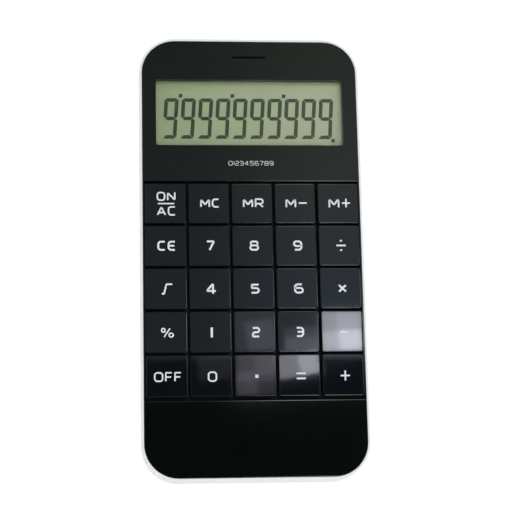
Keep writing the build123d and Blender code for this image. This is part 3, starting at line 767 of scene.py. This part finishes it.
def add_glints():
    """Small lamps, each where a flat key mirrors it straight to the camera. They hang about as high as the
    camera, so that each is twice as large as what the key shows of it."""
    camera = Vector(CAMERA_PLACE_MM) * MM
    for step, (key, share, shift, turn, radiance) in enumerate(GLINTS):
        low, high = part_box("key_" + key)
        half = (high - low) / 2
        spot = (low + high) / 2 + Vector((half.x * shift[0], half.y * shift[1], 0))
        place = Vector((2 * spot.x - camera.x, 2 * spot.y - camera.y, camera.z - step * GLINT_STEP_MM * MM))
        size = (4 * half.x * share[0], 4 * half.y * share[1])
        below = Vector((place.x, place.y, 0))
        watts = radiance * math.pi * size[0] * size[1]
        add_lamp("glint_" + key, place, below, size, watts, turn, colour=GLINT_COLOUR)


def add_card(name, middle_mm, size_mm, material):
    """Flat level card that belongs to the studio."""
    mesh = bpy.data.meshes.new(name)
    x, y, z = (value * MM for value in middle_mm)
    half_x, half_y = (value * MM / 2 for value in size_mm)
    corners = [(x + u * half_x, y + v * half_y, z) for u, v in ((-1, -1), (1, -1), (1, 1), (-1, 1))]
    mesh.from_pydata(corners, [], [(0, 1, 2, 3)])
    mesh.materials.append(material)
    card = new_object(name, mesh)
    return card


def tent_light():
    """Sky of the tent: white at the horizon, dark above it, and a grey roof, brighter to the right and a
    little green towards the far end."""
    world = bpy.data.worlds.new("tent_light")
    world.use_nodes = True
    tree = world.node_tree
    tree.nodes.clear()
    way = add_node(tree, "ShaderNodeTexCoord").outputs["Generated"]
    along = add_node(tree, "ShaderNodeSeparateXYZ", {"Vector": way}).outputs
    far, end, right, roof, wall = (
        add_node(tree, "ShaderNodeMapRange", {"Value": along[axis], "From Min": begins, "From Max": full})
        for axis, (begins, full) in (
            ("Y", SKY_FAR), ("Y", SKY_END), ("X", SKY_RIGHT), ("Z", SKY_ROOF), ("Z", SKY_WALL)))
    side = add_node(tree, "ShaderNodeMix", {
        0: far.outputs[0], 6: linear("#ABC6DE"), 7: linear("#C8CECD")}, data_type="RGBA")
    near = add_node(tree, "ShaderNodeMix", {
        0: right.outputs[0], 6: linear("#8C9193"), 7: side.outputs[2]}, data_type="RGBA")
    green = add_node(tree, "ShaderNodeMix", {
        0: right.outputs[0], 6: linear("#7B8A80"), 7: linear("#A5B6A8")}, data_type="RGBA")
    tone = add_node(tree, "ShaderNodeMix", {
        0: end.outputs[0], 6: near.outputs[2], 7: green.outputs[2]}, data_type="RGBA")
    upper = add_node(tree, "ShaderNodeMix", {
        0: roof.outputs[0], 6: linear("#666A6E"), 7: tone.outputs[2]}, data_type="RGBA")
    whole = add_node(tree, "ShaderNodeMix", {
        0: wall.outputs[0], 6: upper.outputs[2], 7: linear("#FFFFFF")}, data_type="RGBA")
    sky = add_node(tree, "ShaderNodeBackground", {"Color": whole.outputs[2], "Strength": 1.0})
    add_node(tree, "ShaderNodeOutputWorld", {"Surface": sky.outputs[0]})
    return world


def add_studio():
    """Light tent: white floor, soft walls, small lamps and the dark camera hood overhead."""
    add_card("tent_floor", (0, 0, -FLOOR_DROP_MM), (FLOOR_SIDE_MM, FLOOR_SIDE_MM), white_paper())
    hood = add_card("camera_hood", HOOD_MIDDLE_MM, HOOD_SIZE_MM, black_cloth())
    hood.visible_camera = False
    hood.visible_shadow = False
    hood.visible_diffuse = False
    for name, place, size, watts, mirrored in LAMPS:
        add_lamp(name, Vector(place) * MM, Vector(), [side * MM for side in size], watts, mirrored=mirrored)
    add_glints()
    bpy.context.scene.world = tent_light()


def add_camera():
    """Camera at the photograph's place, aim and roll."""
    data = bpy.data.cameras.new("photo_camera")
    data.sensor_fit = "HORIZONTAL"
    data.sensor_width = SENSOR_MM
    data.lens = SENSOR_MM * FOCAL_PX / PHOTO_WIDTH_PX
    camera = bpy.data.objects.new("photo_camera", data)
    bpy.context.scene.collection.objects.link(camera)
    place = Vector(CAMERA_PLACE_MM) * MM
    forward = (Vector(CAMERA_AIM_MM) * MM - place).normalized()
    right = forward.cross(Vector((0, 1, 0))).normalized()
    right = Matrix.Rotation(math.radians(CAMERA_ROLL_DEG), 3, -forward) @ right
    up = right.cross(forward)
    turn = Matrix((right, up, -forward)).transposed().to_4x4()
    camera.matrix_world = Matrix.Translation(place) @ turn
    bpy.context.scene.camera = camera


def dress_nodes():
    """Finishes of the CAD nodes, each with what it gives the eye."""
    # Deep black, with soft-edged mirror images of the tent
    face_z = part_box("front_case")[1].z
    dress(["front_case"], moulded_gloss("polished_black_abs", "#070908", "#0B0D0C", 0.07, 6.0, face_z))
    # A bluer black with a higher polish, in which single keys flash
    keys = ["key_" + key for row in KEYS for key in row]
    key_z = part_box(keys[0])[1].z
    dress(keys, moulded_gloss("polished_blue_black_abs", "#090B0F", "#0D0F15", 0.036, 4.0, key_z))
    # A smooth, near-white rim with a satin shine
    dress(["side_band"], matt_stuff("pale_silver_lacquer", "#E9EBEB", "#F3F4F4", 0.35, 0.4, 0.002))
    # A grained satin black that hides finger marks
    dress(["back_cover", "battery_door"], textured_abs())
    # A clear pane with a thin gloss, over a grey-green display with glass in it
    dress(["display_window"], clear_pane("clear_acrylic", "#FAFCFB", 1.49))
    dress(["lcd_front_polarizer"], lcd_ground())
    dress(["lcd_front_glass", "lcd_rear_glass"], clear_pane("soda_lime_glass", "#F0F6F2", 1.52))
    dress(["lcd_rear_reflector"], matt_stuff("grey_reflector_film", "#7D8770", "#8E9880", 0.5, 0.4, 0.01))
    # Inside: a deep green board with a gloss black drop, tan chips, grey rubber and dark foam
    dress(["main_board"], matt_stuff("green_laminate", "#1F4A24", "#2A5B2E", 0.45, 2.0, 0.02))
    dress(["chip_blob"], matt_stuff("black_epoxy", "#0C0C0D", "#131314", 0.3, 2.0, 0.02))
    dress(["board_parts"], matt_stuff("tan_ceramic", "#8A7253", "#A0855F", 0.5, 0.5, 0.01))
    dress(["zebra_strip"], matt_stuff("layered_connector_rubber", "#3A3A3C", "#8C8C90", 0.7, 0.3, 0.01))
    dress(["lcd_foam_strip"], matt_stuff("closed_cell_foam", "#2A2A2B", "#3C3C3D", 0.9, 0.4, 0.05))
    # Bright bluish screws, a warmer bright can and yellowish springs
    screws = ["case_screws", "board_screws"]
    dress(screws, plated_metal("zinc_plated_steel", "#A9ABAF", "#C6C8CB", 0.32, 0.3))
    dress(["button_cell"], plated_metal("nickel_plated_can", "#B9B8B4", "#D2D1CD", 0.25, 0.4))
    contacts = ["minus_contact", "plus_contact"]
    dress(contacts, plated_metal("nickel_spring_steel", "#B5B0A4", "#CFCABD", 0.3, 0.4))


dress_nodes()
ink_tree = ink_strokes()
# Flat, bright and slightly uneven, as pads print it
white_ink = matt_stuff("pad_printed_white_ink", "#DDE1E3", "#F2F4F5", 0.55, 0.2, 0.004)
add_legends(ink_tree, white_ink)
add_figures(ink_tree, white_ink)
add_digits(liquid_crystal())
add_key_mat()
add_studio()
add_camera()
bpy.context.scene.view_settings.view_transform = "Standard"
